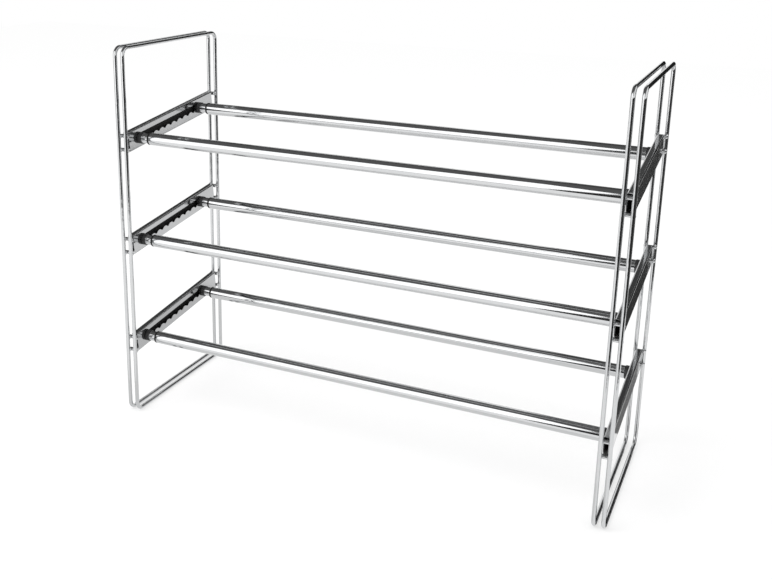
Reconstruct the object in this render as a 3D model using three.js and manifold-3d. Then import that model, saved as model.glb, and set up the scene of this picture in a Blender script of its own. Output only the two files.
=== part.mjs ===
// Pull out shoe rack: two wire ends that carry three sloping levels of telescopic rods.
// Millimetres, +X along the rods, +Y to the back, +Z up. The origin is on the floor,
// below the middle of the closed rack.

import * as THREE from 'three';
import { mergeVertices } from 'three/addons/utils/BufferGeometryUtils.js';
import Module from 'manifold-3d';

// Driving dimensions: the rack closed
const closedWidth = 640;
const overallDepth = 220;
const overallHeight = 495;
const seatGap = 0.3;

// Wire loops and the rungs that join them
const wireDiameter = 5;
const loopPitch = 11;
const loopBendRadius = 10;
const rungSpacing = 18;
const rungOverhang = 0.5;

// Levels, to the middle of their brackets: the lowest from the floor, the top one from the rack's top
const levelNames = ['bottom', 'middle', 'top'];
const lowestLevelHeight = 109.6;
const topLevelDrop = 110.8;
const levelSlope = THREE.MathUtils.degToRad(7);

// Folded sheet brackets
const sheetThickness = 1;
const bracketWidth = 8;
const bracketHeight = 26.4;
const foldRadius = 1.6;

// Slot with rod notches, in the bracket's wall that faces the rods
const notchSpacing = 14;
const firstNotchInset = 23;
const lastNotchInset = 35;
const notchDepth = 2.8;
const notchClearance = 0.5;
const notchFloorHeight = 8.6;
const liftClearance = 0.5;
const slotCornerRadius = 1.5;

// Telescopic rods
const outerTubeDiameter = 16;
const innerTubeDiameter = 13;
const tubeWall = 0.8;
const bareInnerTube = 12.4;
const innerTubeEndPlay = 2.7;
const tubeEdgeRound = 0.3;
const mouthClearance = 0.4;
const mouthLipLength = 0.9;

// Plastic end plugs
const innerPlugFlangeThickness = 2;
const outerPlugFlangeThickness = 5;
const plugFlangeEdge = 0.4;
const innerPlugFlangeDiameter = 15;
const outerPlugFlangeDiameter = 17;
const plugNeckDiameter = 7;
const plugHeadDiameter = 12;
const plugHeadThickness = 1.8;
const plugSpigotLength = 13;
const plugSpigotChamfer = 1;

// Facets
const wireSides = 12;
const tubeSides = 20;
const plugSides = 14;
const bendSteps = 5;
const arcSegments = 2;
const notchSegments = 4;

// Sizes that follow
const wireRadius = wireDiameter / 2;
const outerLoopPlace = closedWidth / 2 - wireRadius;
const innerLoopPlace = outerLoopPlace - loopPitch;
const endPlace = (outerLoopPlace + innerLoopPlace) / 2;
const uprightPlace = overallDepth / 2 - wireRadius;
const rungPlace = uprightPlace - wireDiameter - seatGap;
const rungLength = loopPitch + 2 * rungOverhang;
const rungReach = rungPlace / Math.cos(levelSlope) - rungSpacing / 2 * Math.sin(levelSlope);
const bracketLength = 2 * (rungReach - wireRadius - seatGap);
const levelPitch = (overallHeight - topLevelDrop - lowestLevelHeight) / (levelNames.length - 1);
const cutOverrun = 2 * sheetThickness;

const innerTubeRadius = innerTubeDiameter / 2;
const innerTubeBore = innerTubeRadius - tubeWall;
const outerTubeRadius = outerTubeDiameter / 2;
const outerTubeBore = outerTubeRadius - tubeWall;
const plugNeckRadius = plugNeckDiameter / 2;
const notchRadius = plugNeckRadius + notchClearance;
const notchFloor = notchFloorHeight - bracketHeight / 2;
const slotTop = notchFloor + notchDepth + plugNeckDiameter + liftClearance;
const rodHeight = notchFloor + seatGap + plugNeckRadius;
const firstNotchPlace = -bracketLength / 2 + firstNotchInset;
const lastNotchPlace = bracketLength / 2 - lastNotchInset;
const notchCount = 1 + Math.round((lastNotchPlace - firstNotchPlace) / notchSpacing);
const notchPitch = (lastNotchPlace - firstNotchPlace) / (notchCount - 1);

const webPlace = endPlace - bracketWidth / 2;
const plugFace = webPlace - seatGap;
const innerTubeStart = -(plugFace - innerPlugFlangeThickness - seatGap);
const outerTubeEnd = plugFace - outerPlugFlangeThickness - seatGap;
const outerTubeMouth = innerTubeStart + bareInnerTube;
const innerTubeEnd = plugFace - outerPlugFlangeThickness - plugSpigotLength - innerTubeEndPlay;

const chrome = new THREE.MeshStandardMaterial({ color: 0xd4d6d8, roughness: 0.12, metalness: 1 });
const tubeChrome = new THREE.MeshStandardMaterial({ color: 0xdcdddf, roughness: 0.08, metalness: 1 });
const platedSheet = new THREE.MeshStandardMaterial({ color: 0xb9bbbd, roughness: 0.22, metalness: 1 });
const blackPlastic = new THREE.MeshStandardMaterial({ color: 0x1b1b1c, roughness: 0.5, metalness: 0 });

const wasm = await Module();
wasm.setup();

function toSolid(geometry) {
  geometry.deleteAttribute('normal');
  geometry.deleteAttribute('uv');
  const merged = mergeVertices(geometry);
  return new wasm.Manifold(new wasm.Mesh({
    numProp: 3,
    vertProperties: new Float32Array(merged.attributes.position.array),
    triVerts: new Uint32Array(merged.index.array),
  }));
}

function toGeometry(solid) {
  const mesh = solid.getMesh();
  const geometry = new THREE.BufferGeometry();
  geometry.setAttribute('position', new THREE.BufferAttribute(new Float32Array(mesh.vertProperties), 3));
  geometry.setIndex(new THREE.BufferAttribute(new Uint32Array(mesh.triVerts), 1));
  geometry.computeVertexNormals();
  return geometry;
}

// The corner radius of a wire's polygon section whose flats lie at the wire's radius
const wireCornerRadius = wireRadius / Math.cos(Math.PI / wireSides);

// Centreline of one loop, with its outward direction at each station
function loopStations() {
  const middle = overallHeight / 2;
  const bendCentreY = uprightPlace - loopBendRadius;
  const bendCentreZ = middle - wireRadius - loopBendRadius;
  const corners = [[1, 1], [-1, 1], [-1, -1], [1, -1]];
  const stations = [];
  corners.forEach(([back, up], corner) => {
    const centre = new THREE.Vector3(0, back * bendCentreY, middle + up * bendCentreZ);
    for (let step = 0; step <= bendSteps; step += 1) {
      const angle = (corner + step / bendSteps) * Math.PI / 2;
      const outward = new THREE.Vector3(0, Math.cos(angle), Math.sin(angle));
      const point = centre.clone().addScaledVector(outward, loopBendRadius);
      stations.push({ outward, point });
    }
  });
  return stations;
}

// Wire bent into a closed rectangle, with a flat of its section facing outward all round
function wireLoopGeometry() {
  const stations = loopStations();
  const sideways = new THREE.Vector3(1, 0, 0);
  const positions = [];
  const triangles = [];
  stations.forEach(({ point, outward }, ring) => {
    for (let side = 0; side < wireSides; side += 1) {
      const angle = (side + 1 / 2) * 2 * Math.PI / wireSides;
      const vertex = point.clone()
        .addScaledVector(outward, wireCornerRadius * Math.cos(angle))
        .addScaledVector(sideways, wireCornerRadius * Math.sin(angle));
      positions.push(vertex.x, vertex.y, vertex.z);
      const nextRing = (ring + 1) % stations.length;
      const nextSide = (side + 1) % wireSides;
      const a = ring * wireSides + side;
      const b = ring * wireSides + nextSide;
      const c = nextRing * wireSides + nextSide;
      const d = nextRing * wireSides + side;
      triangles.push(a, c, b, a, d, c);
    }
  });
  const geometry = new THREE.BufferGeometry();
  geometry.setAttribute('position', new THREE.Float32BufferAttribute(positions, 3));
  geometry.setIndex(triangles);
  geometry.computeVertexNormals();
  return geometry;
}

// Short wire across a pair of loops, with a flat towards the uprights
function rungGeometry() {
  const geometry = new THREE.CylinderGeometry(wireCornerRadius, wireCornerRadius, rungLength, wireSides);
  geometry.rotateY(Math.PI / wireSides);
  geometry.rotateZ(Math.PI / 2);
  return geometry;
}

// Turned piece along X: each profile point is a radius and a place along the rod
function turned(profile, sides) {
  const points = profile.map(([radius, place]) => new THREE.Vector2(radius, place));
  const geometry = new THREE.LatheGeometry(points, sides);
  geometry.rotateZ(-Math.PI / 2);
  return geometry;
}

function innerTubeGeometry() {
  return turned([
    [innerTubeBore, innerTubeStart],
    [innerTubeRadius - tubeEdgeRound, innerTubeStart],
    [innerTubeRadius, innerTubeStart + tubeEdgeRound],
    [innerTubeRadius, innerTubeEnd - tubeEdgeRound],
    [innerTubeRadius - tubeEdgeRound, innerTubeEnd],
    [innerTubeBore, innerTubeEnd],
    [innerTubeBore, innerTubeStart],
  ], tubeSides);
}

// The mouth is rolled in to a lip that guides the inner tube
function outerTubeGeometry() {
  const lipBore = innerTubeRadius + mouthClearance;
  const lipEdge = (lipBore + outerTubeRadius) / 2;
  return turned([
    [lipBore, outerTubeMouth],
    [lipEdge, outerTubeMouth],
    [outerTubeRadius, outerTubeMouth + mouthLipLength],
    [outerTubeRadius, outerTubeEnd - tubeEdgeRound],
    [outerTubeRadius - tubeEdgeRound, outerTubeEnd],
    [outerTubeBore, outerTubeEnd],
    [outerTubeBore, outerTubeMouth + mouthLipLength],
    [lipBore, outerTubeMouth],
  ], tubeSides);
}

// A spigot in the tube, a flange against the bracket, and a neck with a head behind the slot
function plugGeometry(end, flangeThickness, flangeDiameter, tubeBore) {
  const flangeRadius = flangeDiameter / 2;
  const flangeStart = plugFace - flangeThickness;
  const spigotEnd = flangeStart - plugSpigotLength;
  const spigotRadius = tubeBore - seatGap;
  const headRadius = plugHeadDiameter / 2;
  const neckEnd = webPlace + sheetThickness + seatGap;
  const profile = [
    [0, spigotEnd],
    [spigotRadius - plugSpigotChamfer, spigotEnd],
    [spigotRadius, spigotEnd + plugSpigotChamfer],
    [spigotRadius, flangeStart],
    [flangeRadius, flangeStart],
    [flangeRadius, plugFace - plugFlangeEdge],
    [flangeRadius - plugFlangeEdge, plugFace],
    [plugNeckRadius, plugFace],
    [plugNeckRadius, neckEnd],
    [headRadius, neckEnd],
    [headRadius, neckEnd + plugHeadThickness],
    [0, neckEnd + plugHeadThickness],
  ];
  const placed = profile.map(([radius, place]) => [radius, end * place]);
  return turned(end > 0 ? placed : placed.reverse(), plugSides);
}

// A rectangle with round corners, centred on the origin
function roundedRectangle(path, width, height, radius) {
  const w = width / 2;
  const h = height / 2;
  const right = Math.PI / 2;
  path.moveTo(-w + radius, -h);
  path.lineTo(w - radius, -h);
  path.absarc(w - radius, -h + radius, radius, -right, 0, false);
  path.lineTo(w, h - radius);
  path.absarc(w - radius, h - radius, radius, 0, right, false);
  path.lineTo(-w + radius, h);
  path.absarc(-w + radius, h - radius, radius, right, 2 * right, false);
  path.lineTo(-w, -h + radius);
  path.absarc(-w + radius, -h + radius, radius, 2 * right, 3 * right, false);
  return path;
}

// A bracket's box section, seen from its end
function boxSection() {
  const outline = roundedRectangle(new THREE.Shape(), bracketWidth, bracketHeight, foldRadius);
  const inside = roundedRectangle(
    new THREE.Path(),
    bracketWidth - 2 * sheetThickness,
    bracketHeight - 2 * sheetThickness,
    foldRadius - sheetThickness,
  );
  outline.holes.push(inside);
  return outline;
}

// The slot: a straight upper edge, and a lower edge whose notches and crests are tangent arcs
function slotOutline() {
  const right = Math.PI / 2;
  const halfPitch = notchPitch / 2;
  const radiusSum = (halfPitch ** 2 + notchDepth ** 2) / (2 * notchDepth);
  const crestRadius = radiusSum - notchRadius;
  const turn = Math.asin(halfPitch / radiusSum);
  const notchCentre = notchFloor + notchRadius;
  const crestCentre = notchFloor + notchDepth - crestRadius;
  const frontEnd = firstNotchPlace - notchRadius;
  const backEnd = lastNotchPlace + notchRadius;
  const corner = slotCornerRadius;
  const outline = new THREE.Shape();
  outline.moveTo(frontEnd, notchCentre);
  for (let notch = 0; notch < notchCount; notch += 1) {
    const place = firstNotchPlace + notch * notchPitch;
    const from = notch === 0 ? Math.PI : 3 * right - turn;
    const to = notch === notchCount - 1 ? 4 * right : 3 * right + turn;
    outline.absarc(place, notchCentre, notchRadius, from, to, false);
    if (notch < notchCount - 1) {
      outline.absarc(place + halfPitch, crestCentre, crestRadius, right + turn, right - turn, true);
    }
  }
  outline.lineTo(backEnd, slotTop - corner);
  outline.absarc(backEnd - corner, slotTop - corner, corner, 0, right, false);
  outline.lineTo(frontEnd + corner, slotTop);
  outline.absarc(frontEnd + corner, slotTop - corner, corner, right, Math.PI, false);
  return outline;
}

// Box with the slot in the wall on the rods' side: end is 1 at the right and -1 at the left
function bracketGeometry(end) {
  const box = new THREE.ExtrudeGeometry(boxSection(), {
    depth: bracketLength,
    bevelEnabled: false,
    curveSegments: arcSegments,
  });
  box.rotateX(Math.PI / 2);
  box.translate(0, bracketLength / 2, 0);
  const cutter = new THREE.ExtrudeGeometry(slotOutline(), {
    depth: cutOverrun + sheetThickness,
    bevelEnabled: false,
    curveSegments: notchSegments,
  });
  cutter.rotateX(Math.PI / 2);
  cutter.rotateZ(Math.PI / 2);
  const cutStart = bracketWidth / 2 + sheetThickness;
  cutter.translate(end > 0 ? -cutStart : cutStart - cutOverrun - sheetThickness, 0, 0);
  return toGeometry(toSolid(box).subtract(toSolid(cutter)));
}

function named(name, geometry, material) {
  const mesh = new THREE.Mesh(geometry, material);
  mesh.name = name;
  return mesh;
}

function addLoops(rack) {
  const loops = [
    ['left_outer_loop', -outerLoopPlace],
    ['left_inner_loop', -innerLoopPlace],
    ['right_inner_loop', innerLoopPlace],
    ['right_outer_loop', outerLoopPlace],
  ];
  loops.forEach(([name, place]) => {
    const loop = named(name, wireLoopGeometry(), chrome);
    loop.position.x = place;
    rack.add(loop);
  });
}

// Two rungs at each upright, evenly above and below the middle of the bracket's end
function addRungs(level, levelName, endName, end) {
  [['front', -rungPlace], ['back', rungPlace]].forEach(([sideName, place]) => {
    const middle = place * Math.tan(levelSlope);
    [['upper', rungSpacing / 2], ['lower', -rungSpacing / 2]].forEach(([rungName, height]) => {
      const name = `${endName}_${levelName}_${sideName}_${rungName}_rung`;
      const rung = named(name, rungGeometry(), chrome);
      rung.position.set(end * endPlace, place, middle + height);
      level.add(rung);
    });
  });
}

function addBracket(slope, levelName, endName, end) {
  const bracket = named(`${endName}_${levelName}_bracket`, bracketGeometry(end), platedSheet);
  bracket.position.x = end * endPlace;
  slope.add(bracket);
}

function addRod(slope, name, place) {
  const innerPlug = plugGeometry(-1, innerPlugFlangeThickness, innerPlugFlangeDiameter, innerTubeBore);
  const outerPlug = plugGeometry(1, outerPlugFlangeThickness, outerPlugFlangeDiameter, outerTubeBore);
  const pieces = [
    ['inner_tube', innerTubeGeometry(), tubeChrome],
    ['outer_tube', outerTubeGeometry(), tubeChrome],
    ['left_plug', innerPlug, blackPlastic],
    ['right_plug', outerPlug, blackPlastic],
  ];
  pieces.forEach(([piece, geometry, material]) => {
    const mesh = named(`${name}_${piece}`, geometry, material);
    mesh.position.set(0, place, rodHeight);
    slope.add(mesh);
  });
}

const rack = new THREE.Group();
addLoops(rack);
levelNames.forEach((levelName, index) => {
  const level = new THREE.Group();
  level.position.z = lowestLevelHeight + index * levelPitch;
  const slope = new THREE.Group();
  slope.rotation.x = levelSlope;
  [['left', -1], ['right', 1]].forEach(([endName, end]) => {
    addRungs(level, levelName, endName, end);
    addBracket(slope, levelName, endName, end);
  });
  addRod(slope, `${levelName}_front`, firstNotchPlace);
  addRod(slope, `${levelName}_back`, lastNotchPlace);
  level.add(slope);
  rack.add(level);
});

export default rack;
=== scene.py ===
import math

import bmesh
import bpy
from mathutils import Matrix, Vector
from mathutils.geometry import tessellate_polygon


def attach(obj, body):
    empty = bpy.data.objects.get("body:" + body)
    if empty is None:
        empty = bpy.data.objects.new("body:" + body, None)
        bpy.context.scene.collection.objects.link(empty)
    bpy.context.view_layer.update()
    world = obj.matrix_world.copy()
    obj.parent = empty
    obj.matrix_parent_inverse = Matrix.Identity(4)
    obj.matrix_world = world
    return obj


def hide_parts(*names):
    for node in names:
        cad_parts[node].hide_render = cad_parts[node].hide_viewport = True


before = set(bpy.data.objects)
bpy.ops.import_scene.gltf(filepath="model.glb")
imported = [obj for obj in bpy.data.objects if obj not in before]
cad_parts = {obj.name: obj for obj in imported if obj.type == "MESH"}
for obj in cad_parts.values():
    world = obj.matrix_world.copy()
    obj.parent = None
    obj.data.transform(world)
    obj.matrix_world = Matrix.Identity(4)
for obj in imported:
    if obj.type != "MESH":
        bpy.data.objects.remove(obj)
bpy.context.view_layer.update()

# Sizes of the rack in millimetres, the same as the solids have
CLOSED_WIDTH = 640.0
DEPTH = 220.0
HEIGHT = 495.0
SEAT_GAP = 0.3

WIRE = 5.0
LOOP_PITCH = 11.0
LOOP_BEND = 10.0
RUNG_SPACING = 18.0
RUNG_OVERHANG = 0.5

LEVEL_NAMES = ("bottom", "middle", "top")
LOWEST_LEVEL = 109.6
TOP_LEVEL_DROP = 110.8
SLOPE = math.radians(7.0)

SHEET = 1.0
BRACKET_WIDTH = 8.0
BRACKET_HEIGHT = 26.4
FOLD = 1.6

NOTCH_SPACING = 14.0
FIRST_NOTCH_INSET = 23.0
LAST_NOTCH_INSET = 35.0
NOTCH_DEPTH = 2.8
NOTCH_CLEARANCE = 0.5
NOTCH_FLOOR_HEIGHT = 8.6
LIFT_CLEARANCE = 0.5
SLOT_CORNER = 1.5

OUTER_TUBE = 16.0
INNER_TUBE = 13.0
TUBE_WALL = 0.8
TUBE_EDGE = 0.3
BARE_INNER_TUBE = 12.4
INNER_TUBE_PLAY = 2.7
LIP_PLAY = 0.4
LIP_LENGTH = 0.9

# End plugs, with the diameter and thickness of each flange and head
INNER_FLANGE = (15.0, 2.0)
OUTER_FLANGE = (17.0, 5.0)
HEAD = (12.0, 1.8)
NECK = 7.0
SPIGOT = 13.0
SPIGOT_CHAMFER = 1.0

# Small forms that only the visual model has, or has finer. A weld bead has three half sizes
RUNG_EDGE = 0.45
WELD_PLACE = 5.3
WELD_BEAD = (2.7, 1.55, 3.05)
SLOT_BURR = 0.16
LIP_ROLL = 1.3
LIP_EDGE = 0.3
LIP_FLARE = 0.1
LIP_THROAT = 0.35
LIP_NOSE = (0.12, 0.08)
COLLAR = 3.0
COLLAR_PLAY = 0.15
COLLAR_EDGE = 0.35
FLANGE_EDGE = 0.35
FACE_EDGE = 0.55
HEAD_EDGE = 0.4
RIBS = 3
RIB_PITCH = 3.4
RIB_LENGTH = 1.8
RIB_FOOT = 0.3
RIB_RISE = 0.25
FIRST_RIB = 2.2
TIP_LENGTH = 0.9

# A narrow band beside each round keeps the long face next to it truly straight in its gloss
BAND = 0.4

# Flat faces around each round form, and steps along each bend
WIRE_SIDES = 28
WELD_SIDES = 20
WELD_RINGS = 12
INNER_TUBE_SIDES = 64
OUTER_TUBE_SIDES = 72
PLUG_SIDES = 56
BEND_STEPS = 18
FOLD_STEPS = 6
NOTCH_STEPS = 12
CORNER_STEPS = 5

# Faces that meet at less than this angle shade as one round surface
SHARP_EDGE = math.radians(32.0)

# Metres in a millimetre
MM = 0.001

# Sizes and places that follow
WIRE_RADIUS = WIRE / 2
RUNG_LENGTH = LOOP_PITCH + 2 * RUNG_OVERHANG
LEVEL_PITCH = (HEIGHT - TOP_LEVEL_DROP - LOWEST_LEVEL) / (len(LEVEL_NAMES) - 1)
OUTER_LOOP_PLACE = CLOSED_WIDTH / 2 - WIRE_RADIUS
INNER_LOOP_PLACE = OUTER_LOOP_PLACE - LOOP_PITCH
END_PLACE = (OUTER_LOOP_PLACE + INNER_LOOP_PLACE) / 2
UPRIGHT_PLACE = DEPTH / 2 - WIRE_RADIUS
RUNG_PLACE = UPRIGHT_PLACE - WIRE - SEAT_GAP
RUNG_REACH = RUNG_PLACE / math.cos(SLOPE) - RUNG_SPACING / 2 * math.sin(SLOPE)
BRACKET_LENGTH = 2 * (RUNG_REACH - WIRE_RADIUS - SEAT_GAP)
FIRST_NOTCH = -BRACKET_LENGTH / 2 + FIRST_NOTCH_INSET
LAST_NOTCH = BRACKET_LENGTH / 2 - LAST_NOTCH_INSET
NOTCHES = 1 + round((LAST_NOTCH - FIRST_NOTCH) / NOTCH_SPACING)
NOTCH_PITCH = (LAST_NOTCH - FIRST_NOTCH) / (NOTCHES - 1)
NOTCH_RADIUS = NECK / 2 + NOTCH_CLEARANCE
NOTCH_FLOOR = NOTCH_FLOOR_HEIGHT - BRACKET_HEIGHT / 2
SLOT_TOP = NOTCH_FLOOR + NOTCH_DEPTH + NECK + LIFT_CLEARANCE
ROD_HEIGHT = NOTCH_FLOOR + SEAT_GAP + NECK / 2
WEB_PLACE = END_PLACE - BRACKET_WIDTH / 2
PLUG_FACE = WEB_PLACE - SEAT_GAP
INNER_TUBE_START = -(PLUG_FACE - INNER_FLANGE[1] - SEAT_GAP)
OUTER_TUBE_END = PLUG_FACE - OUTER_FLANGE[1] - SEAT_GAP
OUTER_TUBE_MOUTH = INNER_TUBE_START + BARE_INNER_TUBE
INNER_TUBE_END = PLUG_FACE - OUTER_FLANGE[1] - SPIGOT - INNER_TUBE_PLAY

# Limits of finishes: the dark ring at a tube's mouth, and the painted light on the lower inside of a
# bracket's open ends
LIP_SHADE = 3.2
PAINTED_LIGHT_REACH = 17.0
PAINTED_LIGHT_FROM = BRACKET_LENGTH / 2 - PAINTED_LIGHT_REACH
PAINTED_LIGHT_FADE = 12.0
PAINTED_LIGHT_BELOW = -10.5
PAINTED_LIGHT_EDGE = 1.0


# Shader maths

class Signal:
    """An output socket, so that shader maths reads as ordinary maths."""

    def __init__(self, finish, socket):
        self.finish = finish
        self.socket = socket

    def maths(self, operation, *values):
        return self.finish.node("ShaderNodeMath", {"operation": operation}, dict(enumerate(values)))

    def size(self):
        return self.maths("ABSOLUTE", self)

    def clamped(self):
        return self.at_least(0.0).at_most(1.0)

    def __add__(self, other):
        return self.maths("ADD", self, other)

    def __radd__(self, other):
        return self.maths("ADD", other, self)

    def __sub__(self, other):
        return self.maths("SUBTRACT", self, other)

    def __rsub__(self, other):
        return self.maths("SUBTRACT", other, self)

    def __mul__(self, other):
        return self.maths("MULTIPLY", self, other)

    def __rmul__(self, other):
        return self.maths("MULTIPLY", other, self)

    def __truediv__(self, other):
        return self.maths("DIVIDE", self, other)

    def __rtruediv__(self, other):
        return self.maths("DIVIDE", other, self)

    def at_most(self, other):
        return self.maths("MINIMUM", self, other)

    def at_least(self, other):
        return self.maths("MAXIMUM", self, other)


class Finish:
    """The nodes of one material, or of the world."""

    def __init__(self, owner):
        owner.use_nodes = True
        self.owner = owner
        self.tree = owner.node_tree
        self.tree.nodes.clear()

    def node(self, kind, settings=None, inputs=None, out=0):
        made = self.tree.nodes.new(kind)
        for key, value in (settings or {}).items():
            setattr(made, key, value)
        for key, value in (inputs or {}).items():
            socket = made.inputs[key]
            if isinstance(value, Signal):
                self.tree.links.new(value.socket, socket)
            else:
                socket.default_value = value
        return Signal(self, made.outputs[out]) if made.outputs else made

    def place(self, along_x, along_y, along_z):
        """Place on the piece, each axis times its own number of features per metre."""
        spot = self.node("ShaderNodeTexCoord", out="Object")
        return self.node("ShaderNodeVectorMath", {"operation": "MULTIPLY"},
                         {0: spot, 1: (along_x, along_y, along_z)})

    def noise(self, where, detail=2.0, roughness=0.5):
        return self.node("ShaderNodeTexNoise", {"noise_dimensions": "3D"},
                         {"Vector": where, "Scale": 1.0, "Detail": detail, "Roughness": roughness})

    def tint(self, amount, dark, light):
        return self.node("ShaderNodeMix", {"data_type": "RGBA"},
                         {"Factor": amount, "A": dark, "B": light}, out="Result")

    def bump(self, height, distance, strength=1.0, under=None):
        values = {"Height": height, "Distance": distance, "Strength": strength}
        if under is not None:
            values["Normal"] = under
        return self.node("ShaderNodeBump", None, values)

    def glow(self, tone):
        return self.node("ShaderNodeEmission", None, {"Color": tone, "Strength": 1.0})

    def surface(self, shader):
        self.node("ShaderNodeOutputMaterial", None, {"Surface": shader})
        return self.owner

    def principled(self, values):
        return self.surface(self.node("ShaderNodeBsdfPrincipled", None, values))


def colour(red, green, blue):
    return (red, green, blue, 1.0)


def grey(level):
    return colour(level, level, level)


def between(low, high, amount):
    """Number that goes from low to high as the amount goes from 0 to 1."""
    return low + (high - low) * amount


def chromed_wire():
    """Bright plating on drawn wire: slightly wavy, with a faint haze in patches."""
    finish = Finish(bpy.data.materials.new("chromed_wire"))
    wave = finish.noise(finish.place(120, 120, 120), 1.0)
    haze = finish.noise(finish.place(45, 45, 45), 3.0, 0.6)
    grain = finish.noise(finish.place(2600, 2600, 2600), 2.0)
    rough = between(0.05, 0.10, haze) + 0.03 * grain
    metal = finish.tint(haze, colour(0.60, 0.61, 0.62), colour(0.66, 0.665, 0.67))
    ripple = finish.bump(wave, 0.00012)
    pitted = finish.bump(grain, 0.0000015, 0.5, ripple)
    return finish.principled({"Base Color": metal, "Metallic": 1.0, "Roughness": rough, "Normal": pitted})


def chromed_tube():
    """Bright plating on drawn tube, with faint lines along the tube."""
    finish = Finish(bpy.data.materials.new("chromed_tube"))
    lines = finish.noise(finish.place(6, 1500, 1500), 3.0, 0.6)
    haze = finish.noise(finish.place(14, 60, 60), 3.0, 0.6)
    wave = finish.noise(finish.place(25, 60, 60), 1.0)
    rough = between(0.035, 0.075, haze) + 0.025 * lines
    metal = finish.tint(haze, colour(0.62, 0.63, 0.64), colour(0.67, 0.675, 0.68))
    ripple = finish.bump(wave, 0.00008)
    drawn = finish.bump(lines, 0.0000012, 0.5, ripple)
    return finish.principled({"Base Color": metal, "Metallic": 1.0, "Roughness": rough, "Normal": drawn})


def plated_sheet():
    """Plated steel sheet, duller than the wire, with rolling lines along the bracket."""
    finish = Finish(bpy.data.materials.new("plated_sheet"))
    rolling = finish.noise(finish.place(2200, 12, 2200), 3.0, 0.6)
    haze = finish.noise(finish.place(70, 30, 70), 3.0, 0.6)
    rough = between(0.06, 0.12, haze) + 0.03 * rolling
    metal = finish.tint(rolling, colour(0.47, 0.475, 0.48), colour(0.53, 0.535, 0.54))
    rolled = finish.bump(rolling, 0.000003, 0.5)
    return finish.principled({"Base Color": metal, "Metallic": 1.0, "Roughness": rough, "Normal": rolled})


def bare_inside_painted_shade_and_light():
    """Inside of a folded box, dull bare steel: near the open ends its lower part is lighter, painted
    light, and deeper in it is near black, painted shade.
    """
    finish = Finish(bpy.data.materials.new("bare_inside_painted_shade_and_light"))
    stain = finish.noise(finish.place(160, 60, 160), 3.0, 0.6)
    grain = finish.noise(finish.place(1800, 1800, 1800), 2.0)
    rough = between(0.55, 0.75, stain)
    # Painted shade: near black for the dull bare steel inside the box
    painted_shade_dull = finish.tint(stain, colour(0.016, 0.016, 0.017), colour(0.034, 0.033, 0.032))
    spot = finish.node("ShaderNodeTexCoord", out="Object")
    along = finish.node("ShaderNodeSeparateXYZ", None, {"Vector": spot}, out="Y")
    upward = finish.node("ShaderNodeSeparateXYZ", None, {"Vector": spot}, out="Z")
    # Painted light: a pale metal tone low down inside, near the open ends, where light from outside falls
    painted_light_near_end = ((along.size() - PAINTED_LIGHT_FROM * MM) / (PAINTED_LIGHT_FADE * MM)).clamped()
    low = ((PAINTED_LIGHT_BELOW * MM - upward) / (PAINTED_LIGHT_EDGE * MM)).clamped()
    metal = finish.tint(painted_light_near_end * low, painted_shade_dull, grey(0.62))
    pitted = finish.bump(grain, 0.00001, 0.5)
    return finish.principled({"Base Color": metal, "Metallic": 0.3, "Roughness": rough, "Normal": pitted})


def mouth_shade():
    """Dull black ring at the mouth of the outer tube."""
    finish = Finish(bpy.data.materials.new("tube_mouth"))
    stain = finish.noise(finish.place(300, 900, 900), 3.0, 0.6)
    rough = between(0.5, 0.7, stain)
    dark = finish.tint(stain, grey(0.008), grey(0.02))
    return finish.principled({"Base Color": dark, "Roughness": rough, "Specular IOR Level": 0.15})


def black_plastic():
    """Moulded black plastic with a fine eroded texture."""
    finish = Finish(bpy.data.materials.new("black_plastic"))
    erosion = finish.noise(finish.place(3200, 3200, 3200), 3.0, 0.65)
    flow = finish.noise(finish.place(90, 90, 90), 2.0)
    rough = between(0.38, 0.55, erosion)
    black = finish.tint(flow, colour(0.014, 0.014, 0.015), colour(0.026, 0.026, 0.027))
    textured = finish.bump(erosion, 0.00002, 0.7)
    return finish.principled({"Base Color": black, "Roughness": rough, "Normal": textured})


# Forms, in millimetres

def in_scene(name, data):
    made = bpy.data.objects.new(name, data)
    bpy.context.scene.collection.objects.link(made)
    return made


def placed_piece(name, form, finishes, place=None):
    """Object from a form in millimetres, smooth but for its real edges."""
    bmesh.ops.recalc_face_normals(form, faces=form.faces)
    for face in form.faces:
        face.smooth = True
    for edge in form.edges:
        edge.smooth = len(edge.link_faces) == 2 and edge.calc_face_angle(0.0) < SHARP_EDGE
    bmesh.ops.scale(form, vec=(MM, MM, MM), verts=form.verts)
    mesh = bpy.data.meshes.new(name)
    form.to_mesh(mesh)
    form.free()
    for finish in finishes:
        mesh.materials.append(finish)
    piece = in_scene(name, mesh)
    if place is not None:
        piece.matrix_world = place
    return piece


def stand_for(node, piece, body):
    bpy.context.view_layer.update()
    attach(piece, body)
    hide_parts(node)


def skin(form, rings, closed=False):
    """Faces between rings that have the same number of points."""
    count = len(rings[0])
    last = len(rings) if closed else len(rings) - 1
    for ring in range(last):
        near, far = rings[ring], rings[(ring + 1) % len(rings)]
        for point in range(count):
            after = (point + 1) % count
            form.faces.new((near[point], near[after], far[after], far[point]))


def turned(form, profile, sides, closed=True):
    """Turned form along X. The profile holds a radius and a place along X for each point."""
    rings = []
    for radius, along in profile:
        if radius == 0.0:
            rings.append([form.verts.new((along, 0.0, 0.0))])
            continue
        ring = []
        for side in range(sides):
            angle = 2 * math.pi * side / sides
            ring.append(form.verts.new((along, radius * math.cos(angle), radius * math.sin(angle))))
        rings.append(ring)
    last = len(rings) if closed else len(rings) - 1
    for index in range(last):
        near, far = rings[index], rings[(index + 1) % len(rings)]
        for side in range(sides):
            after = (side + 1) % sides
            if len(near) == 1:
                form.faces.new((near[0], far[after], far[side]))
            elif len(far) == 1:
                form.faces.new((near[side], near[after], far[0]))
            else:
                form.faces.new((near[side], near[after], far[after], far[side]))


def quarter_turns(steps):
    return [math.radians(90.0 * step / steps) for step in range(steps + 1)]


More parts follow.
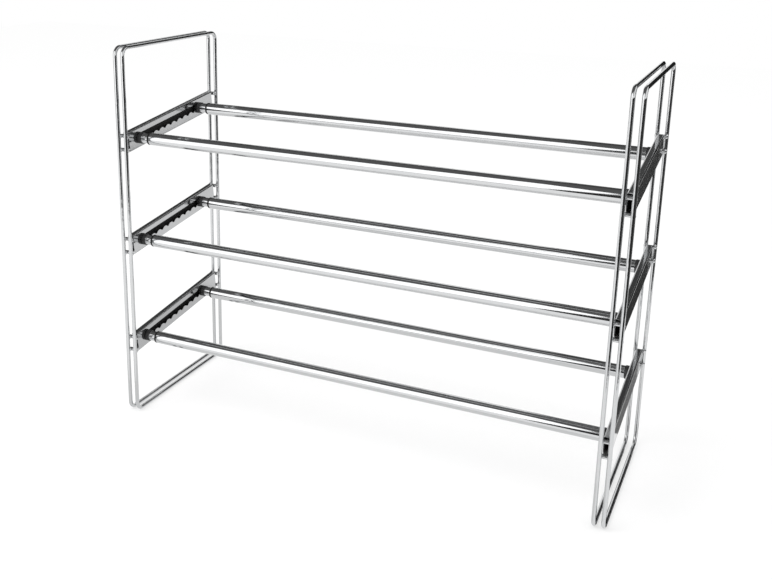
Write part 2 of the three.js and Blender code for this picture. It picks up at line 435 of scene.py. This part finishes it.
def rising_round(radius, face, across, along, steps=5):
    """Points of a profile's round, from the face at its start out to the full radius."""
    return [(radius - across + across * math.sin(turn), face + along - along * math.cos(turn))
            for turn in quarter_turns(steps)]


def falling_round(radius, face, across, along, steps=5):
    """Points of a profile's round, from the full radius in to the face at its end."""
    return [(radius - across + across * math.cos(turn), face - along + along * math.sin(turn))
            for turn in quarter_turns(steps)]


def wire_loop():
    """Wire bent into an upright rectangle with round corners, across the X axis."""
    form = bmesh.new()
    middle = HEIGHT / 2
    reach_y = UPRIGHT_PLACE - LOOP_BEND
    reach_z = middle - WIRE_RADIUS - LOOP_BEND
    sideways = Vector((1.0, 0.0, 0.0))
    rings = []
    for corner, (back, up) in enumerate(((1, 1), (-1, 1), (-1, -1), (1, -1))):
        for step in range(-1, BEND_STEPS + 2):
            bent = min(max(step, 0), BEND_STEPS)
            turn = (corner + bent / BEND_STEPS) * math.pi / 2
            out = Vector((0.0, math.cos(turn), math.sin(turn)))
            onward = Vector((0.0, -math.sin(turn), math.cos(turn)))
            point = Vector((0.0, back * reach_y, middle + up * reach_z)) + out * LOOP_BEND
            point += onward * BAND * (step - bent)
            ring = []
            for side in range(WIRE_SIDES):
                angle = 2 * math.pi * side / WIRE_SIDES
                offset = out * math.cos(angle) + sideways * math.sin(angle)
                ring.append(form.verts.new(point + offset * WIRE_RADIUS))
            rings.append(ring)
    skin(form, rings, closed=True)
    return form


def welded_rung(towards):
    """Short wire with sheared ends, and the weld at each of the two uprights that it crosses."""
    form = bmesh.new()
    half = RUNG_LENGTH / 2
    profile = [(0.0, -half)] + rising_round(WIRE_RADIUS, -half, RUNG_EDGE, RUNG_EDGE)
    profile += [(WIRE_RADIUS, -half + RUNG_EDGE + BAND)]
    profile += [(radius, -place) for radius, place in profile[::-1]]
    turned(form, profile, WIRE_SIDES, closed=False)
    for along in (-WELD_PLACE, WELD_PLACE):
        made = bmesh.ops.create_uvsphere(form, u_segments=WELD_SIDES, v_segments=WELD_RINGS, radius=1.0)
        seat = Matrix.Translation((along, towards * (WIRE_RADIUS + SEAT_GAP / 2), 0.0))
        shape = Matrix.Diagonal((*WELD_BEAD, 1.0))
        bmesh.ops.transform(form, matrix=seat @ shape, verts=made["verts"])
    return form


def section(width, height, radius):
    """Box section without the flat of the wall at +X, from that wall's top round to its bottom."""
    reach_x, reach_z = width / 2 - radius, height / 2 - radius
    points = []
    for x, z, start in (
            (reach_x, reach_z, 0),
            (-reach_x, reach_z, 90),
            (-reach_x, -reach_z, 180),
            (reach_x, -reach_z, 270)):
        for step in range(-1, FOLD_STEPS + 2):
            bent = min(max(step, 0), FOLD_STEPS)
            angle = math.radians(start + 90 * bent / FOLD_STEPS)
            beyond = BAND * (step - bent)
            points.append((
                x + radius * math.cos(angle) - beyond * math.sin(angle),
                z + radius * math.sin(angle) + beyond * math.cos(angle)))
    return points


def slot_outline():
    """Slot seen from the rods' side: a straight top, and notches and crests as tangent arcs."""
    half_pitch = NOTCH_PITCH / 2
    radius_sum = (half_pitch ** 2 + NOTCH_DEPTH ** 2) / (2 * NOTCH_DEPTH)
    crest_radius = radius_sum - NOTCH_RADIUS
    turn = math.asin(half_pitch / radius_sum)
    right = math.pi / 2
    nearest = 0.001
    points = []

    def arc(along, upward, radius, start, end, count):
        for step in range(count + 1):
            angle = start + (end - start) * step / count
            point = Vector((along + radius * math.cos(angle), upward + radius * math.sin(angle)))
            if not points or (point - points[-1]).length > nearest:
                points.append(point)

    for notch in range(NOTCHES):
        along = FIRST_NOTCH + notch * NOTCH_PITCH
        start = math.pi if notch == 0 else 3 * right - turn
        end = 4 * right if notch == NOTCHES - 1 else 3 * right + turn
        arc(along, NOTCH_FLOOR + NOTCH_RADIUS, NOTCH_RADIUS, start, end, NOTCH_STEPS)
        if notch < NOTCHES - 1:
            crest = NOTCH_FLOOR + NOTCH_DEPTH - crest_radius
            arc(along + half_pitch, crest, crest_radius, right + turn, right - turn, NOTCH_STEPS)
    corner = SLOT_CORNER
    arc(LAST_NOTCH + NOTCH_RADIUS - corner, SLOT_TOP - corner, corner, 0.0, right, CORNER_STEPS)
    arc(FIRST_NOTCH - NOTCH_RADIUS + corner, SLOT_TOP - corner, corner, right, 2 * right, CORNER_STEPS)
    if (points[0] - points[-1]).length < nearest:
        points.pop()
    return points


def widened(points, by):
    """Outline moved out by a distance, at right angles to itself."""
    outline = []
    for index, point in enumerate(points):
        before, after = points[index - 1], points[(index + 1) % len(points)]
        along = (after - before).normalized()
        outline.append(point + Vector((along.y, -along.x)) * by)
    return outline


def slotted_bracket(side):
    """Folded box, open at its ends, with the slot in the wall on the given side."""
    form = bmesh.new()
    half = BRACKET_LENGTH / 2
    outer = section(BRACKET_WIDTH, BRACKET_HEIGHT, FOLD)
    inner = section(BRACKET_WIDTH - 2 * SHEET, BRACKET_HEIGHT - 2 * SHEET, FOLD - SHEET)
    ends = []
    for along in (-half, half):
        ends.append([[form.verts.new((side * x, along, z)) for x, z in line] for line in (outer, inner)])
    (near_outer, near_inner), (far_outer, far_inner) = ends
    count = len(outer)
    for point in range(count - 1):
        after = point + 1
        form.faces.new((near_outer[point], near_outer[after], far_outer[after], far_outer[point]))
        inside = form.faces.new((near_inner[point], far_inner[point], far_inner[after], near_inner[after]))
        inside.material_index = 1
    for first, second in ((near_outer, near_inner), (far_outer, far_inner)):
        for point in range(count):
            after = (point + 1) % count
            form.faces.new((first[point], second[point], second[after], first[after]))
    slot = slot_outline()
    wide = widened(slot, SLOT_BURR)
    wall = BRACKET_WIDTH / 2
    rims = []
    for outline, depth in (
            (wide, wall),
            (slot, wall - SLOT_BURR),
            (slot, wall - SHEET + SLOT_BURR),
            (wide, wall - SHEET)):
        rims.append([form.verts.new((side * depth, point.x, point.y)) for point in outline])
    skin(form, rims)
    for rim, near, far in ((rims[0], near_outer, far_outer), (rims[-1], near_inner, far_inner)):
        border = [near[-1], far[-1], far[0], near[0]]
        lines = [[Vector((vert.co.y, vert.co.z, 0.0)) for vert in line] for line in (border, rim)]
        verts = border + rim
        for triple in tessellate_polygon(lines):
            wall_face = form.faces.new([verts[index] for index in triple])
            wall_face.material_index = 1 if near is near_inner else 0
    return form


def inner_tube():
    form = bmesh.new()
    radius, edge = INNER_TUBE / 2, TUBE_EDGE
    bore = radius - TUBE_WALL
    start, end = INNER_TUBE_START, INNER_TUBE_END
    profile = [(bore, start)] + rising_round(radius, start, edge, edge)
    profile += [(radius, start + edge + BAND), (radius, end - edge - BAND)]
    profile += falling_round(radius, end, edge, edge) + [(bore, end)]
    turned(form, profile, INNER_TUBE_SIDES)
    return form


def outer_tube():
    """Tube with its mouth rolled in to a lip that guides the inner tube."""
    form = bmesh.new()
    radius, edge = OUTER_TUBE / 2, TUBE_EDGE
    bore = radius - TUBE_WALL
    lip_bore = INNER_TUBE / 2 + LIP_PLAY
    mouth, end = OUTER_TUBE_MOUTH, OUTER_TUBE_END
    profile = rising_round(radius, mouth, radius - lip_bore - LIP_EDGE, LIP_ROLL, steps=6)
    profile += [(radius, mouth + LIP_SHADE), (radius, end - edge - BAND)]
    profile += falling_round(radius, end, edge, edge)
    profile += [(bore, end), (bore, mouth + LIP_ROLL + LIP_LENGTH)]
    profile += [(lip_bore + LIP_FLARE, mouth + LIP_LENGTH), (lip_bore, mouth + LIP_THROAT)]
    profile += [(lip_bore + LIP_NOSE[0], mouth + LIP_NOSE[1])]
    turned(form, profile, OUTER_TUBE_SIDES)
    for face in form.faces:
        face.material_index = 1 if face.calc_center_median().x < mouth + LIP_SHADE else 0
    return form


def end_plug(end, flange, tube_bore):
    """Plug with a ribbed spigot, a flange with soft edges, a neck and a head behind the slot."""
    form = bmesh.new()
    flange_radius, thick = flange[0] / 2, flange[1]
    spigot_radius = tube_bore - SEAT_GAP
    neck, head, head_thick = NECK / 2, HEAD[0] / 2, HEAD[1]
    start = PLUG_FACE - thick
    tip = start - SPIGOT
    neck_end = WEB_PLACE + SHEET + SEAT_GAP
    head_end = neck_end + head_thick
    waist = spigot_radius - RIB_RISE
    profile = [(0.0, tip), (spigot_radius - SPIGOT_CHAMFER, tip), (waist, tip + TIP_LENGTH)]
    for rib in range(RIBS):
        foot = tip + FIRST_RIB + rib * RIB_PITCH
        profile += [(waist, foot), (spigot_radius, foot + RIB_FOOT),
                    (spigot_radius, foot + RIB_LENGTH - RIB_FOOT), (waist, foot + RIB_LENGTH)]
    profile += [(waist, start)] + rising_round(flange_radius, start, FLANGE_EDGE, FLANGE_EDGE, steps=4)
    profile += falling_round(flange_radius, PLUG_FACE, FACE_EDGE, FACE_EDGE)
    profile += [(neck, PLUG_FACE), (neck, neck_end)]
    profile += rising_round(head, neck_end, HEAD_EDGE, HEAD_EDGE, steps=3)
    profile += falling_round(head, head_end, HEAD_EDGE, HEAD_EDGE, steps=3) + [(0.0, head_end)]
    turned(form, [(radius, end * along) for radius, along in profile], PLUG_SIDES, closed=False)
    return form


def add_collar(form):
    """Collar of the left plug, from its flange over the start of the inner tube."""
    outer, bore = INNER_FLANGE[0] / 2, INNER_TUBE / 2 + COLLAR_PLAY
    root = -(PLUG_FACE - INNER_FLANGE[1] + FLANGE_EDGE)
    rim = root + COLLAR + FLANGE_EDGE
    profile = [(outer, root)] + falling_round(outer, rim, COLLAR_EDGE, COLLAR_EDGE, steps=4)
    profile += [(bore, rim), (bore, root)]
    turned(form, profile, PLUG_SIDES)


def moved(form, x=0.0, y=0.0, z=0.0):
    bmesh.ops.translate(form, verts=form.verts, vec=(x, y, z))
    return form


# The rack

wire_finish = chromed_wire()
tube_finish = chromed_tube()
sheet_finish = plated_sheet()
inside_painted_light_and_shade_finish = bare_inside_painted_shade_and_light()
mouth_finish = mouth_shade()
plastic_finish = black_plastic()


def add_loops():
    for node, body, along in (
            ("left_outer_loop", "left_end", -OUTER_LOOP_PLACE),
            ("left_inner_loop", "left_end", -INNER_LOOP_PLACE),
            ("right_inner_loop", "right_end", INNER_LOOP_PLACE),
            ("right_outer_loop", "right_end", OUTER_LOOP_PLACE)):
        loop = placed_piece(f"{node}_wire", moved(wire_loop(), x=along), [wire_finish])
        stand_for(node, loop, body)


def add_rungs(level, height, end_name, end):
    for side_name, towards in (("front", -1), ("back", 1)):
        middle = height + towards * RUNG_PLACE * math.tan(SLOPE)
        for rung_name, up in (("upper", RUNG_SPACING / 2), ("lower", -RUNG_SPACING / 2)):
            node = f"{end_name}_{level}_{side_name}_{rung_name}_rung"
            form = moved(welded_rung(towards), end * END_PLACE, towards * RUNG_PLACE, middle + up)
            rung = placed_piece(f"{node}_welded", form, [wire_finish])
            stand_for(node, rung, f"{end_name}_end")


def add_bracket(level, slope_place, end_name, end):
    node = f"{end_name}_{level}_bracket"
    form = moved(slotted_bracket(-end), x=end * END_PLACE)
    bracket = placed_piece(f"{node}_sheet", form, [sheet_finish, inside_painted_light_and_shade_finish], slope_place)
    stand_for(node, bracket, f"{end_name}_end")


def add_rod(level, slope_place, side_name, along):
    rod = f"{level}_{side_name}"
    inner_bore = INNER_TUBE / 2 - TUBE_WALL
    outer_bore = OUTER_TUBE / 2 - TUBE_WALL
    left_plug = end_plug(-1, INNER_FLANGE, inner_bore)
    add_collar(left_plug)
    right_plug = end_plug(1, OUTER_FLANGE, outer_bore)
    for piece_name, form, finishes, body, slot in (
            ("inner_tube", inner_tube(), [tube_finish], "left_end", "tube"),
            ("outer_tube", outer_tube(), [tube_finish, mouth_finish], "right_end", "tube"),
            ("left_plug", left_plug, [plastic_finish], "left_end", "plug"),
            ("right_plug", right_plug, [plastic_finish], "right_end", "plug")):
        node = f"{rod}_{piece_name}"
        piece = placed_piece(f"{node}_turned", moved(form, y=along, z=ROD_HEIGHT), finishes, slope_place)
        stand_for(node, piece, body)


add_loops()
for index, level in enumerate(LEVEL_NAMES):
    height = LOWEST_LEVEL + index * LEVEL_PITCH
    slope_place = Matrix.Translation((0.0, 0.0, height * MM)) @ Matrix.Rotation(SLOPE, 4, "X")
    for end_name, end in (("left", -1), ("right", 1)):
        add_rungs(level, height, end_name, end)
        add_bracket(level, slope_place, end_name, end)
    add_rod(level, slope_place, "front", FIRST_NOTCH)
    add_rod(level, slope_place, "back", LAST_NOTCH)


# Studio, in metres

def seen_in_metal(finish):
    """1 for rays from the camera and for those that metal and glass send on."""
    rays = [finish.node("ShaderNodeLightPath", out=name)
            for name in ("Is Camera Ray", "Is Glossy Ray", "Is Transmission Ray")]
    return rays[0].at_least(rays[1]).at_least(rays[2])


def studio_floor():
    finish = Finish(bpy.data.materials.new("pale_floor"))
    matt = finish.node("ShaderNodeBsdfDiffuse", None, {"Color": grey(0.97)})
    glow = finish.glow(grey(1.0))
    mixed = finish.node("ShaderNodeMixShader", None, {0: 0.5 * seen_in_metal(finish), 1: matt, 2: glow})
    return finish.surface(mixed)


def card_finish(name, tone):
    finish = Finish(bpy.data.materials.new(name))
    return finish.surface(finish.glow(grey(tone)))


def stage_sheet(name, corners, finish):
    mesh = bpy.data.meshes.new(name)
    mesh.from_pydata(corners, [], [tuple(range(len(corners)))])
    mesh.materials.append(finish)
    sheet = in_scene(name, mesh)
    return sheet


def studio_card(name, tone, corners):
    """Board of one tone that is only seen mirrored in the metal."""
    card = stage_sheet(name, corners, card_finish(name, tone))
    card.visible_camera = False
    card.visible_diffuse = False
    card.visible_transmission = False
    card.visible_volume_scatter = False
    card.visible_shadow = False


def level_card(name, tone, height, corners):
    """Level board, with corners along X and Y."""
    studio_card(name, tone, [(x, y, height) for x, y in corners])


def facing_card(name, tone, place, corners):
    """Upright board across the Y axis, with corners along X and Z."""
    studio_card(name, tone, [(x, place, z) for x, z in corners])


def side_card(name, tone, place, corners):
    """Upright board across the X axis, with corners along Y and Z."""
    studio_card(name, tone, [(place, y, z) for y, z in corners])


def oblong(first, second):
    """Corners of an oblong, from its range along each of its two axes."""
    return [(first[0], second[0]), (first[1], second[0]), (first[1], second[1]), (first[0], second[1])]


# Places that the studio's boards stand in, and heights of those that lie on the floor
SCREEN = -2.2
FRONT = -2.19
BACK = 3.0
BEHIND_END = 0.8
LEFT = -2.2
RIGHT = 0.95
CEILING = 2.2
FOOT_HEIGHT = 0.003
BOARD_HEIGHT = 0.002
SHADED_HEIGHT = 0.001
STRIP_HEIGHT = 0.0005
FLOOR_REACH = 4.0

# Tones that several boards share
ABOVE = 0.115
ABOVE_BACK = 0.07
DARK = 0.03
DARKER = 0.02
DARKEST = 0.015

floor_corners = oblong((-FLOOR_REACH, FLOOR_REACH), (-FLOOR_REACH, FLOOR_REACH))
stage_sheet("floor", [(x, y, 0.0) for x, y in floor_corners], studio_floor())

# The boards give polished metal its dark and light bands in the camera's view. First those in front
facing_card("front_screen", 1.7, SCREEN, oblong((-3.4, 1.0), (0.0, 3.7)))
facing_card("front_dark", DARK, FRONT, [(-0.24, 0.0), (0.36, 0.0), (0.36, 1.05), (-0.085, 1.05)])
facing_card("front_grey", 0.35, FRONT, [(-0.085, 1.05), (1.0, 1.05), (1.0, 1.75), (-0.06, 1.75)])
facing_card("front_above", ABOVE, FRONT, oblong((-0.1, 1.0), (1.75, 3.7)))
level_card("front_foot", DARK, FOOT_HEIGHT, [(-0.24, FRONT), (0.36, FRONT), (0.36, -1.0), (0.03, -1.08)])
level_card("front_line", 0.45, FOOT_HEIGHT, [(-0.9, -1.12), (-0.02, -1.3), (0.03, -1.08), (-0.9, -1.09)])

# Boards above
level_card("ceiling_left", ABOVE, CEILING, [
    (-FLOOR_REACH, FRONT), (-0.8, -1.72), (-0.8, 0.6), (-FLOOR_REACH, 0.6)])
level_card("ceiling_middle", ABOVE, CEILING, [(-0.8, -1.72), (-0.25, -1.3), (-0.25, 0.6), (-0.8, 0.6)])
level_card("ceiling_right", ABOVE, CEILING, [
    (-0.25, -1.3), (-0.12, FRONT), (1.4, FRONT), (1.4, 0.6), (-0.25, 0.6)])
level_card("ceiling_back", ABOVE_BACK, CEILING, oblong((-FLOOR_REACH, 1.4), (0.6, 1.9)))
level_card("ceiling_back_left", ABOVE_BACK, CEILING, oblong((-FLOOR_REACH, -1.7), (1.9, BACK)))
level_card("ceiling_back_right", ABOVE_BACK, CEILING, oblong((-0.4, 1.4), (1.9, BACK)))

# Boards behind
facing_card("far_left_board", DARK, BACK, oblong((-FLOOR_REACH, -1.0), (1.75, 2.3)))
facing_card("far_middle_board", 0.09, BACK, oblong((-0.45, RIGHT), (1.1, 2.3)))
facing_card("far_back_middle", DARKEST, BACK, oblong((0.1, RIGHT), (0.0, 1.1)))
facing_card("far_back_right", DARKEST, BACK, oblong((RIGHT, 3.5), (0.0, CEILING)))

# Boards around the two ends
side_card("dark_right", 0.035, RIGHT, oblong((FRONT, -0.4), (0.0, 0.46)))
side_card("dark_right_middle", 0.05, RIGHT, oblong((-0.4, -0.15), (0.0, 0.46)))
side_card("dark_right_back", 0.1, RIGHT, oblong((-0.15, 0.9), (0.0, 0.46)))
facing_card("front_low", DARKER, FRONT, oblong((0.36, RIGHT), (0.0, 0.2)))
level_card("dark_right_foot", DARKER, FOOT_HEIGHT, [
    (0.36, FRONT), (RIGHT, FRONT), (RIGHT, -0.15), (0.72, -0.15), (0.6, -0.45), (0.36, -0.45)])
side_card("dark_left", 0.35, LEFT, oblong((-0.5, 2.0), (0.0, 1.6)))
facing_card("dark_back_foot", DARKEST, BEHIND_END, oblong((0.7, 1.4), (0.0, 0.22)))

# Boards on the floor behind the right end
level_card("grey_board", 0.16, BOARD_HEIGHT, oblong((0.327, 0.368), (0.12, 0.42)))
level_card("dark_board", 0.04, BOARD_HEIGHT, [
    (0.33, 0.42), (0.58, 0.42), (0.63, 1.2), (0.75, 2.1), (0.75, BACK), (0.33, BACK)])

# Boards on the floor at the rack's feet: painted contact shadow beside and between the right end's bottom
# wires, and painted shade of the floor under the rack, all seen only mirrored in the metal
level_card("right_painted_shadow_strip", DARKER, STRIP_HEIGHT, oblong((0.3205, 0.345), (-0.1, 0.085)))
level_card("right_gap_painted_shadow_strip", DARKER, STRIP_HEIGHT, oblong((0.3092, 0.3148), (-0.1, 0.085)))
level_card("shaded_floor", 0.85, SHADED_HEIGHT, oblong((-0.6, 0.3), (-0.2, 0.35)))

world = bpy.data.worlds.new("studio")
bpy.context.scene.world = world
air = Finish(world)
background = air.node("ShaderNodeBackground", None, {"Color": grey(1.0), "Strength": 1.0})
air.node("ShaderNodeOutputWorld", None, {"Surface": background})


def soft_lamp(name, power, size, place, target):
    data = bpy.data.lights.new(name, "AREA")
    data.shape = "RECTANGLE"
    data.size, data.size_y = size
    data.energy = power
    lamp = in_scene(name, data)
    lamp.location = place
    lamp.rotation_mode = "QUATERNION"
    lamp.rotation_quaternion = (Vector(place) - Vector(target)).to_track_quat("Z", "Y")
    lamp.visible_glossy = False


soft_lamp("key", power=22.0, size=(1.6, 1.2), place=(-1.1, -1.4, 2.2), target=(0.0, 0.0, 0.2))

# Camera, at the photograph's viewing angle
CAMERA_PLACE = (0.453234, -1.109187, 0.646646)
VIEW_RIGHT = Vector((0.902490, 0.430553, 0.011628))
VIEW_UP = Vector((-0.125021, 0.236033, 0.963669))
LENS = 46.482
LENS_SHIFT = (0.0725, -0.12)

camera_data = bpy.data.cameras.new("camera")
camera_data.sensor_width = 36.0
camera_data.lens = LENS
camera_data.shift_x, camera_data.shift_y = LENS_SHIFT
camera_data.clip_start = 0.05
camera_data.clip_end = 50.0
camera = in_scene("camera", camera_data)
view_axes = Matrix((VIEW_RIGHT, VIEW_UP, VIEW_RIGHT.cross(VIEW_UP))).transposed()
camera.matrix_world = Matrix.Translation(CAMERA_PLACE) @ view_axes.to_4x4()
bpy.context.scene.camera = camera
bpy.context.scene.view_settings.view_transform = "Standard"
